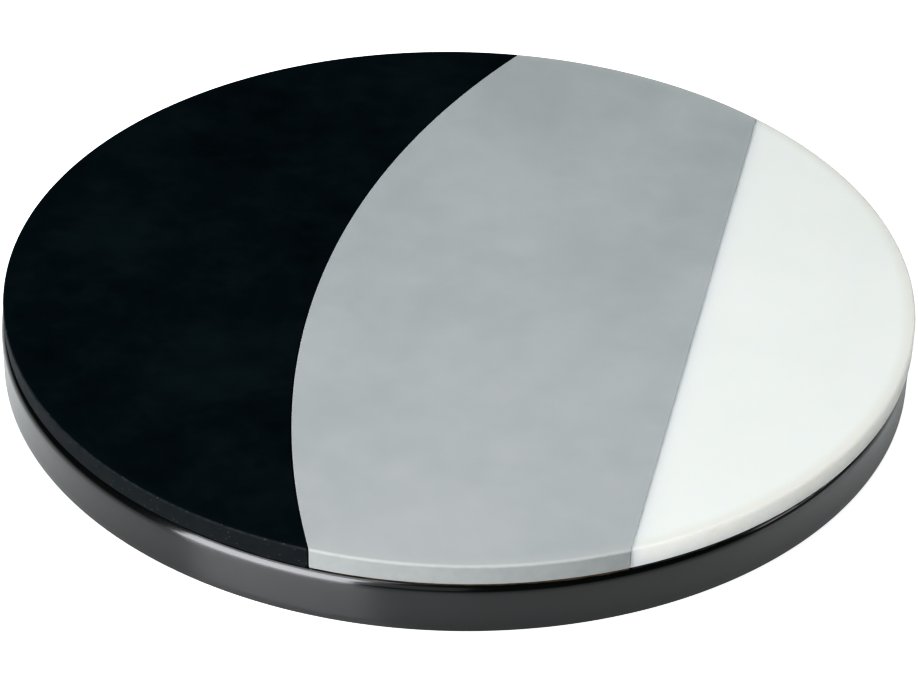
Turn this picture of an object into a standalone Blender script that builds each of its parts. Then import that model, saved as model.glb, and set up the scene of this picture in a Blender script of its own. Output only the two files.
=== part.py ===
"""Round tabletop practice pad: a lacquered base board, three glued rubber playing pads,
four screwed-on rubber feet and a flanged threaded insert for a stand.

Frame: metres, +Z up. The origin is on the table, under the centre of the base board.
+X runs along the pattern's axis, from the black pad to the white pad, and the whole
object mirrors across the plane Y = 0.
"""

import math

import bmesh
import bpy

# Base board
BASE_RADIUS = 0.1524
BASE_THICKNESS = 0.0180
BASE_TOP_ROUND = 0.0040
BASE_BOTTOM_ROUND = 0.0006

# Rubber playing pads
RUBBER_RADIUS = 0.1522
RUBBER_THICKNESS = 0.0070
RUBBER_SHIFT_X = 0.0009
RUBBER_EDGE_ROUND = 0.0007
SEAM_GAP = 0.0003
CURVED_SEAM_RADIUS = 0.3593
CURVED_SEAM_CENTRE_X = 0.3145
STRAIGHT_SEAM_X = 0.0824

# Glue between the rubber and the board
GLUE_LINE = 0.0005
GLUE_FILM_THICKNESS = 0.0002
GLUE_FILM_INSET = 0.0034

# Feet, their washers and their screws
FOOT_COUNT = 4
FOOT_CIRCLE_RADIUS = 0.1150
FOOT_HEIGHT = 0.0050
FOOT_BOTTOM_RADIUS = 0.0100
FOOT_TOP_RADIUS = 0.0112
FOOT_EDGE_ROUND = 0.0008
FOOT_POCKET_RADIUS = 0.0058
FOOT_POCKET_DEPTH = 0.0034
FOOT_HOLE_RADIUS = 0.0023
WASHER_OUTER_RADIUS = 0.0050
WASHER_INNER_RADIUS = 0.0022
WASHER_THICKNESS = 0.0008
FOOT_SCREW_HEAD_RADIUS = 0.0036
FOOT_SCREW_HEAD_HEIGHT = 0.0016
FOOT_SCREW_HEAD_SIDE = 0.0007
FOOT_SCREW_HEAD_SLOPE = 0.0014
FOOT_SCREW_SHOULDER_RADIUS = 0.0029
FOOT_SCREW_CROWN_RADIUS = 0.0016
FOOT_SCREW_SHANK_RADIUS = 0.0018
FOOT_SCREW_LENGTH = 0.0120

# Threaded insert for a stand, and its screws
INSERT_FLANGE_RADIUS = 0.0200
INSERT_FLANGE_THICKNESS = 0.0020
INSERT_BARREL_RADIUS = 0.0058
INSERT_BARREL_LENGTH = 0.0095
INSERT_BORE_RADIUS = 0.0034
INSERT_BORE_CHAMFER = 0.0006
INSERT_SCREW_COUNT = 3
INSERT_SCREW_CIRCLE_RADIUS = 0.0130
INSERT_SCREW_HEAD_RADIUS = 0.0030
INSERT_SCREW_HEAD_HEIGHT = 0.0015
INSERT_SCREW_SHANK_RADIUS = 0.0015
INSERT_SCREW_LENGTH = 0.0090

# Clearance between touching pieces, and how round things are divided
CLEARANCE = 0.0003
SCREW_POINT_LENGTH = 0.0025
BASE_SEGMENTS = 128
SMALL_SEGMENTS = 32
SCREW_SEGMENTS = 20
ROUND_STEPS = 4
OUTLINE_STEP = 0.0075
MERGE_DISTANCE = 1e-6
SHARP_ANGLE = math.radians(32)

BASE_BOTTOM_Z = FOOT_HEIGHT
BASE_TOP_Z = BASE_BOTTOM_Z + BASE_THICKNESS
RUBBER_BOTTOM_Z = BASE_TOP_Z + GLUE_LINE


def clear_scene():
    """Remove every object, so that the script can run in any file."""
    for old in list(bpy.data.objects):
        bpy.data.objects.remove(old, do_unlink=True)


def make_material(name, colour, roughness, metallic=0.0):
    """A Principled material with one colour."""
    material = bpy.data.materials.new(name)
    material.use_nodes = True
    shader = material.node_tree.nodes["Principled BSDF"]
    shader.inputs["Base Color"].default_value = (*colour, 1.0)
    shader.inputs["Roughness"].default_value = roughness
    shader.inputs["Metallic"].default_value = metallic
    return material


def finish_object(name, mesh_builder, material, parent, location=(0.0, 0.0, 0.0)):
    """Turn a bmesh into a smooth-shaded object with one material, placed under its parent."""
    bmesh.ops.remove_doubles(mesh_builder, verts=mesh_builder.verts, dist=MERGE_DISTANCE)
    bmesh.ops.recalc_face_normals(mesh_builder, faces=mesh_builder.faces)
    mesh = bpy.data.meshes.new(name)
    mesh_builder.to_mesh(mesh)
    mesh_builder.free()
    mesh.shade_smooth()
    mesh.set_sharp_from_angle(angle=SHARP_ANGLE)
    if material is not None:
        mesh.materials.append(material)
    made = bpy.data.objects.new(name, mesh)
    made.location = location
    made.parent = parent
    bpy.context.scene.collection.objects.link(made)
    return made


def arc(centre, radius, start, end, steps):
    """Points on an arc about a centre, both ends included. Angles are in radians."""
    points = []
    for step in range(steps + 1):
        angle = start + (end - start) * step / steps
        points.append((centre[0] + radius * math.cos(angle), centre[1] + radius * math.sin(angle)))
    return points


def turned(profile, segments, closed_loop=False):
    """Spin an (r, z) profile once round the Z axis. A profile whose ends lie on the axis gives
    a solid body, and a closed loop gives a ring."""
    builder = bmesh.new()
    verts = [builder.verts.new((radius, 0.0, height)) for radius, height in profile]
    edges = [builder.edges.new(pair) for pair in zip(verts, verts[1:])]
    if closed_loop:
        edges.append(builder.edges.new((verts[-1], verts[0])))
    bmesh.ops.spin(
        builder,
        geom=verts + edges,
        cent=(0.0, 0.0, 0.0),
        axis=(0.0, 0.0, 1.0),
        angle=math.tau,
        steps=segments,
    )
    return builder


def plate(outline, thickness, edge_round=0.0):
    """A flat plate on z = 0 with the given outline. Its upper edge can be rounded."""
    builder = bmesh.new()
    lower = builder.faces.new([builder.verts.new((x, y, 0.0)) for x, y in outline])
    raised = bmesh.ops.extrude_face_region(builder, geom=[lower])["geom"]
    raised_verts = [part for part in raised if isinstance(part, bmesh.types.BMVert)]
    bmesh.ops.translate(builder, vec=(0.0, 0.0, thickness), verts=raised_verts)
    # Extruding a lone face keeps the first one, which closes the plate's underside.
    if edge_round > 0.0:
        upper_face = next(part for part in raised if isinstance(part, bmesh.types.BMFace))
        bmesh.ops.bevel(
            builder,
            geom=list(upper_face.edges),
            offset=edge_round,
            segments=2,
            profile=0.5,
            affect="EDGES",
            clamp_overlap=True,
        )
    return builder


def cut(target, cutter):
    """Take a cutter's volume out of a body, and keep the cutter as a wire helper."""
    cutter.hide_render = True
    cutter.display_type = "WIRE"
    boolean = target.modifiers.new(cutter.name, "BOOLEAN")
    boolean.operation = "DIFFERENCE"
    boolean.solver = "EXACT"
    boolean.object = cutter


def around(count, radius, first_angle=0.0):
    """Evenly spaced (x, y) places on a circle about the Z axis."""
    places = []
    for index in range(count):
        angle = first_angle + math.tau * index / count
        places.append((radius * math.cos(angle), radius * math.sin(angle)))
    return places


# ---------------------------------------------------------------- rubber outlines


def outline_arc(centre_x, radius, start, end):
    """An arc about a centre on the X axis, divided about every OUTLINE_STEP along its length."""
    steps = max(2, round(abs(end - start) * radius / OUTLINE_STEP))
    return arc((centre_x, 0.0), radius, start, end, steps)


def meeting_angles(rim_radius, seam_radius):
    """Where the curved seam meets the rim, as its angle about the rim's centre and about the
    seam's own centre. Both centres lie on the X axis."""
    distance = CURVED_SEAM_CENTRE_X - RUBBER_SHIFT_X
    along = (rim_radius**2 - seam_radius**2 + distance**2) / (2.0 * distance)
    across = math.sqrt(rim_radius**2 - along**2)
    return math.atan2(across, along), math.atan2(across, along - distance)


def black_outline(inset):
    """The rim's left part, closed by the curved seam that bulges into it."""
    rim_radius = RUBBER_RADIUS - inset
    seam_radius = CURVED_SEAM_RADIUS + SEAM_GAP / 2.0 + inset
    rim_angle, seam_angle = meeting_angles(rim_radius, seam_radius)
    rim = outline_arc(RUBBER_SHIFT_X, rim_radius, rim_angle, math.tau - rim_angle)
    seam = outline_arc(CURVED_SEAM_CENTRE_X, seam_radius, math.tau - seam_angle, seam_angle)
    return rim + seam[1:-1]


def straight_seam_angle(rim_radius, seam_x):
    """The angle about the rim's centre where the straight seam meets the rim."""
    return math.acos((seam_x - RUBBER_SHIFT_X) / rim_radius)


def grey_outline(inset):
    """Between the curved seam and the straight seam."""
    rim_radius = RUBBER_RADIUS - inset
    seam_radius = CURVED_SEAM_RADIUS - SEAM_GAP / 2.0 - inset
    seam_x = STRAIGHT_SEAM_X - SEAM_GAP / 2.0 - inset
    rim_angle, seam_angle = meeting_angles(rim_radius, seam_radius)
    line_angle = straight_seam_angle(rim_radius, seam_x)
    far_rim = outline_arc(RUBBER_SHIFT_X, rim_radius, line_angle, rim_angle)
    curved_seam = outline_arc(CURVED_SEAM_CENTRE_X, seam_radius, seam_angle, math.tau - seam_angle)
    near_rim = outline_arc(RUBBER_SHIFT_X, rim_radius, -rim_angle, -line_angle)
    return far_rim + curved_seam[1:-1] + near_rim


def white_outline(inset):
    """The circular segment beyond the straight seam."""
    rim_radius = RUBBER_RADIUS - inset
    seam_x = STRAIGHT_SEAM_X + SEAM_GAP / 2.0 + inset
    line_angle = straight_seam_angle(rim_radius, seam_x)
    return outline_arc(RUBBER_SHIFT_X, rim_radius, -line_angle, line_angle)


# ---------------------------------------------------------------- pieces


def base_board(material, parent):
    """The black disc, with a stepped hole in its underside for the insert."""
    flange_pocket_radius = INSERT_FLANGE_RADIUS + CLEARANCE
    flange_pocket_depth = INSERT_FLANGE_THICKNESS + CLEARANCE
    barrel_hole_radius = INSERT_BARREL_RADIUS + CLEARANCE
    barrel_hole_depth = INSERT_FLANGE_THICKNESS + INSERT_BARREL_LENGTH + 2.0 * CLEARANCE
    upper_centre = (BASE_RADIUS - BASE_TOP_ROUND, BASE_THICKNESS - BASE_TOP_ROUND)
    lower_centre = (BASE_RADIUS - BASE_BOTTOM_ROUND, BASE_BOTTOM_ROUND)
    quarter = math.pi / 2.0
    profile = [(0.0, BASE_THICKNESS)]
    profile += arc(upper_centre, BASE_TOP_ROUND, quarter, 0.0, ROUND_STEPS)
    profile += arc(lower_centre, BASE_BOTTOM_ROUND, 0.0, -quarter, 2)
    profile += [
        (flange_pocket_radius, 0.0),
        (flange_pocket_radius, flange_pocket_depth),
        (barrel_hole_radius, flange_pocket_depth),
        (barrel_hole_radius, barrel_hole_depth),
        (0.0, barrel_hole_depth),
    ]
    builder = turned(profile, BASE_SEGMENTS)
    return finish_object("base_board", builder, material, parent, (0.0, 0.0, BASE_BOTTOM_Z))


def pilot_hole(name, place, radius, depth, parent):
    """A round cutter that goes up into the board from below its underside."""
    profile = [(0.0, depth), (radius, depth), (radius, -CLEARANCE), (0.0, -CLEARANCE)]
    builder = turned(profile, SCREW_SEGMENTS)
    return finish_object(name, builder, None, parent, (*place, BASE_BOTTOM_Z))


def playing_pad(name, outline, material, parent):
    """One rubber segment, with its upper edge rounded."""
    builder = plate(outline, RUBBER_THICKNESS, RUBBER_EDGE_ROUND)
    return finish_object(name, builder, material, parent, (0.0, 0.0, RUBBER_BOTTOM_Z))


def glue_film(name, outline, material, parent):
    """The glue layer, in the middle of the space between the rubber and the board."""
    height = BASE_TOP_Z + (GLUE_LINE - GLUE_FILM_THICKNESS) / 2.0
    return finish_object(name, plate(outline, GLUE_FILM_THICKNESS), material, parent, (0.0, 0.0, height))


def foot(name, place, material, parent):
    """A tapered rubber foot with a pocket from below and a screw hole through it."""
    top = FOOT_HEIGHT - CLEARANCE
    lower_centre = (FOOT_BOTTOM_RADIUS - FOOT_EDGE_ROUND, FOOT_EDGE_ROUND)
    profile = [(FOOT_HOLE_RADIUS, top), (FOOT_TOP_RADIUS, top)]
    profile += arc(lower_centre, FOOT_EDGE_ROUND, 0.0, -math.pi / 2.0, 2)
    profile += [
        (FOOT_POCKET_RADIUS, 0.0),
        (FOOT_POCKET_RADIUS, FOOT_POCKET_DEPTH),
        (FOOT_HOLE_RADIUS, FOOT_POCKET_DEPTH),
    ]
    builder = turned(profile, SMALL_SEGMENTS, closed_loop=True)
    return finish_object(name, builder, material, parent, (*place, 0.0))


def foot_washer(name, place, material, parent):
    """A flat washer just under the roof of the foot's pocket."""
    profile = [
        (WASHER_INNER_RADIUS, WASHER_THICKNESS),
        (WASHER_OUTER_RADIUS, WASHER_THICKNESS),
        (WASHER_OUTER_RADIUS, 0.0),
        (WASHER_INNER_RADIUS, 0.0),
    ]
    height = FOOT_POCKET_DEPTH - CLEARANCE - WASHER_THICKNESS
    builder = turned(profile, SMALL_SEGMENTS, closed_loop=True)
    return finish_object(name, builder, material, parent, (*place, height))


def foot_screw(name, place, material, parent):
    """A pan head wood screw, point up. Its own zero height is the seat under its head."""
    profile = [
        (0.0, FOOT_SCREW_LENGTH),
        (FOOT_SCREW_SHANK_RADIUS, FOOT_SCREW_LENGTH - SCREW_POINT_LENGTH),
        (FOOT_SCREW_SHANK_RADIUS, 0.0),
        (FOOT_SCREW_HEAD_RADIUS, 0.0),
        (FOOT_SCREW_HEAD_RADIUS, -FOOT_SCREW_HEAD_SIDE),
        (FOOT_SCREW_SHOULDER_RADIUS, -FOOT_SCREW_HEAD_SLOPE),
        (FOOT_SCREW_CROWN_RADIUS, -FOOT_SCREW_HEAD_HEIGHT),
        (0.0, -FOOT_SCREW_HEAD_HEIGHT),
    ]
    height = FOOT_POCKET_DEPTH - 2.0 * CLEARANCE - WASHER_THICKNESS
    builder = turned(profile, SCREW_SEGMENTS)
    return finish_object(name, builder, material, parent, (*place, height))


def stand_insert(material, parent):
    """A round flange, flush with the board's underside, and a barrel bored for the stand's thread."""
    bore_mouth = INSERT_BORE_RADIUS + INSERT_BORE_CHAMFER
    top = INSERT_FLANGE_THICKNESS + INSERT_BARREL_LENGTH
    profile = [
        (INSERT_BORE_RADIUS, top),
        (INSERT_BARREL_RADIUS, top),
        (INSERT_BARREL_RADIUS, INSERT_FLANGE_THICKNESS),
        (INSERT_FLANGE_RADIUS, INSERT_FLANGE_THICKNESS),
        (INSERT_FLANGE_RADIUS, 0.0),
        (bore_mouth, 0.0),
        (INSERT_BORE_RADIUS, INSERT_BORE_CHAMFER),
    ]
    builder = turned(profile, SMALL_SEGMENTS, closed_loop=True)
    return finish_object("stand_insert", builder, material, parent, (0.0, 0.0, BASE_BOTTOM_Z))


def insert_screw_hole(name, place, parent):
    """A cutter for the flange, larger than the screw by the clearance all round."""
    profile = [
        (0.0, INSERT_SCREW_LENGTH),
        (INSERT_SCREW_SHANK_RADIUS + CLEARANCE, INSERT_SCREW_LENGTH),
        (INSERT_SCREW_SHANK_RADIUS + CLEARANCE, INSERT_SCREW_HEAD_HEIGHT + CLEARANCE),
        (INSERT_SCREW_HEAD_RADIUS + 2.0 * CLEARANCE, 0.0),
        (INSERT_SCREW_HEAD_RADIUS + 2.0 * CLEARANCE, -CLEARANCE),
        (0.0, -CLEARANCE),
    ]
    builder = turned(profile, SCREW_SEGMENTS)
    return finish_object(name, builder, None, parent, (*place, BASE_BOTTOM_Z))


def insert_screw(name, place, material, parent):
    """A countersunk screw, point up, that holds the insert's flange to the board. Its flat
    head's face is at its own zero height."""
    profile = [
        (0.0, INSERT_SCREW_LENGTH),
        (INSERT_SCREW_SHANK_RADIUS, INSERT_SCREW_LENGTH - SCREW_POINT_LENGTH),
        (INSERT_SCREW_SHANK_RADIUS, INSERT_SCREW_HEAD_HEIGHT),
        (INSERT_SCREW_HEAD_RADIUS, 0.0),
        (0.0, 0.0),
    ]
    builder = turned(profile, SCREW_SEGMENTS)
    return finish_object(name, builder, material, parent, (*place, BASE_BOTTOM_Z))


# ---------------------------------------------------------------- assembly


def build():
    clear_scene()
    bpy.context.scene.unit_settings.system = "METRIC"
    bpy.context.scene.unit_settings.scale_length = 1.0
    origin = bpy.data.objects.new("practice_pad_origin", None)
    bpy.context.scene.collection.objects.link(origin)

    lacquer = make_material("base_lacquer", (0.030, 0.033, 0.036), 0.32)
    black_rubber = make_material("black_rubber", (0.006, 0.009, 0.010), 0.55)
    grey_rubber = make_material("grey_rubber", (0.40, 0.43, 0.42), 0.50)
    white_rubber = make_material("white_rubber", (0.78, 0.84, 0.79), 0.45)
    glue = make_material("glue", (0.16, 0.11, 0.06), 0.45)
    foot_rubber = make_material("foot_rubber", (0.020, 0.020, 0.021), 0.70)
    zinc_steel = make_material("zinc_steel", (0.62, 0.63, 0.64), 0.30, 1.0)
    nickel_steel = make_material("nickel_steel", (0.66, 0.63, 0.58), 0.25, 1.0)

    board = base_board(lacquer, origin)
    insert = stand_insert(nickel_steel, origin)

    layers = (
        ("black", black_outline, black_rubber),
        ("grey", grey_outline, grey_rubber),
        ("white", white_outline, white_rubber),
    )
    for colour, outline, rubber in layers:
        glue_film(colour + "_glue_film", outline(GLUE_FILM_INSET), glue, origin)
        playing_pad(colour + "_pad", outline(0.0), rubber, origin)

    foot_screw_reach = FOOT_POCKET_DEPTH - 2.0 * CLEARANCE - WASHER_THICKNESS + FOOT_SCREW_LENGTH
    foot_pilot_depth = foot_screw_reach - BASE_BOTTOM_Z + CLEARANCE
    foot_pilot_radius = FOOT_SCREW_SHANK_RADIUS + CLEARANCE
    foot_places = around(FOOT_COUNT, FOOT_CIRCLE_RADIUS, math.pi / FOOT_COUNT)
    for number, place in enumerate(foot_places, start=1):
        foot(f"foot_{number}", place, foot_rubber, origin)
        foot_washer(f"foot_washer_{number}", place, zinc_steel, origin)
        foot_screw(f"foot_screw_{number}", place, zinc_steel, origin)
        hole = pilot_hole(f"foot_pilot_hole_{number}", place, foot_pilot_radius, foot_pilot_depth, origin)
        cut(board, hole)

    insert_pilot_radius = INSERT_SCREW_SHANK_RADIUS + CLEARANCE
    insert_pilot_depth = INSERT_SCREW_LENGTH + CLEARANCE
    insert_places = around(INSERT_SCREW_COUNT, INSERT_SCREW_CIRCLE_RADIUS)
    for number, place in enumerate(insert_places, start=1):
        insert_screw(f"insert_screw_{number}", place, zinc_steel, origin)
        cut(insert, insert_screw_hole(f"flange_hole_{number}", place, origin))
        pilot = pilot_hole(
            f"insert_pilot_hole_{number}", place, insert_pilot_radius, insert_pilot_depth, origin
        )
        cut(board, pilot)


build()
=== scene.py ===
"""The looks of a round tabletop practice pad: fine meshes and procedural materials built around
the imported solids, on a plain pale floor in soft studio light.

Everything is in metres in the solids' own frame. Sizes and places are read from the solids' boxes.
"""

import math

import bmesh
import bpy
from mathutils import Matrix, Vector, noise


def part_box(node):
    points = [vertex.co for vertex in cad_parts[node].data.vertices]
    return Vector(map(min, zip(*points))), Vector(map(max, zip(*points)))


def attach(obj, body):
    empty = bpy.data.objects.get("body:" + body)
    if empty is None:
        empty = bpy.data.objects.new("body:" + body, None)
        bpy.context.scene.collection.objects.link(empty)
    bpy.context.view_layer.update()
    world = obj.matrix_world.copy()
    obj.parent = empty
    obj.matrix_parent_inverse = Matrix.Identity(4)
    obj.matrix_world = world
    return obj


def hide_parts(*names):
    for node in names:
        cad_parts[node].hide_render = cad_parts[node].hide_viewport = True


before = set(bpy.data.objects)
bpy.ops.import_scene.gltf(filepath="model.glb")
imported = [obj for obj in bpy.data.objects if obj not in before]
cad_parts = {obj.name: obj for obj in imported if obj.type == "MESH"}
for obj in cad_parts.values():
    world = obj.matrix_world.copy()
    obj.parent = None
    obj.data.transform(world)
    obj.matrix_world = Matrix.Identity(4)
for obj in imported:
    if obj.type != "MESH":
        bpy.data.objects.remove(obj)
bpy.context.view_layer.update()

MM = 0.001
TOUCHING = 1e-7
QUARTER_TURN = math.pi / 2.0
SHARP_DEGREES = 32.0
PLAIN_WHITE = (1.0, 1.0, 1.0, 1.0)

# ---------------------------------------------------------------- the camera and the studio

# The camera stands at this azimuth, elevation and distance from the middle of the board's
# underside. It looks down by its pitch, and its pan and roll are small turns.
CAMERA_AZIMUTH = math.radians(12.08)
CAMERA_ELEVATION = math.radians(35.17)
CAMERA_DISTANCE = 1.0716
CAMERA_PITCH = math.radians(35.330)
CAMERA_PAN = math.radians(0.07)
CAMERA_ROLL = math.radians(1.355)
CAMERA_LENS = 123.53
SENSOR_WIDTH = 36.0

# Each softbox: name, azimuth and elevation in degrees as seen from the pad, where azimuth 0 is
# the camera's side, then distance, width and height in metres, power in watts, and colour.
SOFTBOXES = (
    ("low_softbox", -40.0, 4.5, 1.1, 0.80, 0.24, 3.5, (0.96, 0.97, 1.0)),
    ("key_softbox", -40.0, 23.0, 1.1, 0.76, 0.50, 7.2, (0.95, 0.96, 1.0)),
    ("upper_softbox", -40.0, 49.0, 1.1, 0.80, 0.43, 2.6, (0.97, 0.98, 1.0)),
    ("right_softbox", 100.0, 60.0, 1.1, 0.70, 0.40, 0.9, (0.95, 0.98, 1.0)),
    ("side_softbox", 84.0, 14.0, 1.1, 0.60, 0.22, 0.9, (1.0, 0.98, 0.98)),
    ("top_softbox", 0.0, 90.0, 1.0, 0.8, 0.8, 7.4, (0.94, 0.97, 1.0)),
    ("front_softbox", -10.0, 20.0, 1.1, 0.50, 0.50, 0.5, (0.95, 0.98, 1.0)),
)
SKY_COLOUR = (0.92, 0.96, 1.0, 1.0)
SKY_GLOW = 0.02
FLOOR_GLOW = 0.02
FLOOR_GLOW_SEEN = 0.90
FLOOR_GLOW_UNDER = 0.65
# The glow under the board fades out between these two shares of the rim's radius.
FLOOR_GLOW_PATCH = (0.85, 0.99)
FLOOR_COLOUR = (0.86, 0.865, 0.845, 1.0)
FLOOR_IOR = 2.15
FLOOR_ROUGHNESS = 0.18
FLOOR_HALF_SIZE = 6.0
FLOOR_GAP = 0.05 * MM
# Each point of the contrast curve: a tone, and the tone it is shown as.
CONTRAST_CURVE = ((0.10, 0.045), (0.30, 0.245), (0.50, 0.505), (0.75, 0.775))

# ---------------------------------------------------------------- sizes read from the solids

BOARD_LOW, BOARD_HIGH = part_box("base_board")
BLACK_LOW, BLACK_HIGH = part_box("black_pad")
GREY_LOW, GREY_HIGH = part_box("grey_pad")
WHITE_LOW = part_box("white_pad")[0]
INSERT_LOW, INSERT_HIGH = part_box("stand_insert")

BOARD_RADIUS = BOARD_HIGH.x
BOARD_BOTTOM = BOARD_LOW.z
BOARD_TOP = BOARD_HIGH.z
PAD_BOTTOM = GREY_LOW.z
PAD_TOP = GREY_HIGH.z

RIM_RADIUS = GREY_HIGH.y
RIM_CENTRE_X = BLACK_LOW.x + RIM_RADIUS
SEAM_GAP = WHITE_LOW.x - GREY_HIGH.x
STRAIGHT_SEAM_X = (WHITE_LOW.x + GREY_HIGH.x) / 2.0


def curved_seam():
    """The curved seam's centre on the X axis and its radius, from the seam's foremost point and
    the tips of the black pad, which all lie on one circle."""
    apex = GREY_LOW.x - SEAM_GAP
    reach = BLACK_HIGH.x - apex
    half_chord_squared = RIM_RADIUS**2 - (BLACK_HIGH.x - RIM_CENTRE_X) ** 2
    radius = (reach**2 + half_chord_squared) / (2.0 * reach)
    return apex + radius, radius - SEAM_GAP / 2.0


CURVED_SEAM_CENTRE_X, CURVED_SEAM_RADIUS = curved_seam()

# ---------------------------------------------------------------- sizes of the fine shapes

BOARD_TOP_ROUND = 4.0 * MM
BOARD_BOTTOM_ROUND = 0.6 * MM
BOARD_SEGMENTS = 384
BOARD_RING_STEP = 9.0 * MM
BOARD_ROUND_STEPS = 14
POCKET_GAP = 0.3 * MM

FOOT_COUNT = 4
FOOT_POCKET_RADIUS = 5.8 * MM
FOOT_POCKET_DEPTH = 3.4 * MM
FOOT_HOLE_RADIUS = 2.3 * MM
FOOT_GROOVES = (8.3 * MM, 7.3 * MM)
FOOT_GROOVE_DEPTH = 0.22 * MM
WASHER_HOLE_RADIUS = 2.2 * MM
FOOT_SCREW_SHANK = 1.8 * MM
FOOT_SCREW_CORE = 1.25 * MM
FOOT_SCREW_PITCH = 1.35 * MM
FOOT_SCREW_HEAD_HEIGHT = 1.6 * MM

INSERT_BARREL_RADIUS = 5.8 * MM
INSERT_FLANGE_THICKNESS = 2.0 * MM
INSERT_THREAD_CREST = 3.4 * MM
INSERT_THREAD_ROOT = 4.0 * MM
INSERT_THREAD_PITCH = 1.25 * MM
INSERT_SCREW_COUNT = 3
INSERT_SCREW_SHANK = 1.5 * MM
INSERT_SCREW_CORE = 1.05 * MM
INSERT_SCREW_PITCH = 1.2 * MM
SCREW_CONE = 3.0 * MM
# The share of a thread's pitch that its crest takes, and that its root takes.
THREAD_FLAT = 0.12

SCREW_SEGMENTS = 40
WASHER_SEGMENTS = 72
FOOT_SEGMENTS = 96
INSERT_SEGMENTS = 96
PILOT_HOLE_SEGMENTS = 32
COUNTERSINK_SEGMENTS = 48

RIM_ROUND = 0.75 * MM
SEAM_ROUND = 0.012 * MM
PAD_ROUND_STEPS = 6
PAD_WALL_ROWS = 6
PAD_SUPPORT = 0.45 * MM
PAD_GRID = 6.0 * MM
PAD_UNDULATION = 0.03 * MM
PAD_EDGE_WANDER = 0.07 * MM
CURVED_SEAM_HALF_GAP = 0.27 * MM
STRAIGHT_SEAM_HALF_GAP = 0.006 * MM
PAD_FOOT_ROUND = 0.12 * MM
PAD_SHARP_DEGREES = 40.0
CURVED_SEAM_STEPS = 240
STRAIGHT_SEAM_STEPS = 200
BLACK_RIM_STEPS = 340
GREY_RIM_STEPS = 100
WHITE_RIM_STEPS = 240

GLUE_BELOW_PAD = 0.02 * MM
GLUE_ABOVE_BOARD = 0.05 * MM
GLUE_SEAM_INSET = 0.4 * MM
GLUE_BEAD_REACH = 2.0 * MM
# Each ring of a glue film: how far in from the rim, and whether it lies on the board.
GLUE_RINGS = (
    (5.0 * MM, True),
    (3.0 * MM, True),
    (2.2 * MM, True),
    (1.3 * MM, True),
    (0.8 * MM, False),
)


# ---------------------------------------------------------------- mesh helpers


def arc(centre, radius, start, end, steps):
    """Points on an arc about a centre, both ends included. Angles are in radians."""
    points = []
    for step in range(steps + 1):
        angle = start + (end - start) * step / steps
        points.append((centre[0] + radius * math.cos(angle), centre[1] + radius * math.sin(angle)))
    return points


def line(start, end, steps):
    """Evenly spaced points between two points, the start included and the end left out."""
    points = []
    for step in range(steps):
        share = step / steps
        points.append((start[0] + (end[0] - start[0]) * share, start[1] + (end[1] - start[1]) * share))
    return points


def bridge(builder, lower, upper):
    """Faces between two rings of vertices. A ring of one vertex is a pole."""
    count = max(len(lower), len(upper))
    for index in range(count):
        following = (index + 1) % count
        corners = [lower[index % len(lower)], lower[following % len(lower)]]
        corners += [upper[following % len(upper)], upper[index % len(upper)]]
        builder.faces.new(list(dict.fromkeys(corners)))


def lathe(profile, segments, closed_loop=False):
    """A body turned about the Z axis from (r, z) points. Points on the axis become poles."""
    builder = bmesh.new()
    rings = []
    for radius, height in profile:
        if radius < TOUCHING:
            rings.append([builder.verts.new((0.0, 0.0, height))])
            continue
        ring = []
        for index in range(segments):
            angle = math.tau * index / segments
            ring.append(builder.verts.new((radius * math.cos(angle), radius * math.sin(angle), height)))
        rings.append(ring)
    pairs = list(zip(rings, rings[1:]))
    if closed_loop:
        pairs.append((rings[-1], rings[0]))
    for lower, upper in pairs:
        bridge(builder, lower, upper)
    return builder


def to_object(name, builder, material, sharp_degrees=SHARP_DEGREES):
    """Turn a bmesh into a smooth-shaded object with one material, or with none for a cutter."""
    bmesh.ops.recalc_face_normals(builder, faces=builder.faces)
    mesh = bpy.data.meshes.new(name)
    builder.to_mesh(mesh)
    builder.free()
    mesh.shade_smooth()
    mesh.set_sharp_from_angle(angle=math.radians(sharp_degrees))
    if material is not None:
        mesh.materials.append(material)
    made = bpy.data.objects.new(name, mesh)
    bpy.context.scene.collection.objects.link(made)
    return made


def carve(target, cutters):
    """Take the cutters' volumes out of a body, keep the result as its mesh and drop the cutters."""
    material = target.data.materials[0]
    for cutter in cutters:
        boolean = target.modifiers.new(cutter.name, "BOOLEAN")
        boolean.operation = "DIFFERENCE"
        boolean.solver = "EXACT"
        boolean.object = cutter
    bpy.context.view_layer.update()
    graph = bpy.context.evaluated_depsgraph_get()
    carved = bpy.data.meshes.new_from_object(target.evaluated_get(graph), depsgraph=graph)
    target.modifiers.clear()
    target.data = carved
    carved.materials.clear()
    carved.materials.append(material)
    carved.shade_smooth()
    carved.set_sharp_from_angle(angle=math.radians(SHARP_DEGREES))
    for cutter in cutters:
        bpy.data.objects.remove(cutter, do_unlink=True)


def place_of(node):
    """A node's lowest and highest corners, and the middle between them."""
    low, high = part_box(node)
    return low, high, (low + high) / 2.0


def stand_for(piece, node):
    """The piece is shown in place of a solid: it joins the root body, and the solid is hidden."""
    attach(piece, "root")
    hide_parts(node)


# ---------------------------------------------------------------- material helpers


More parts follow.
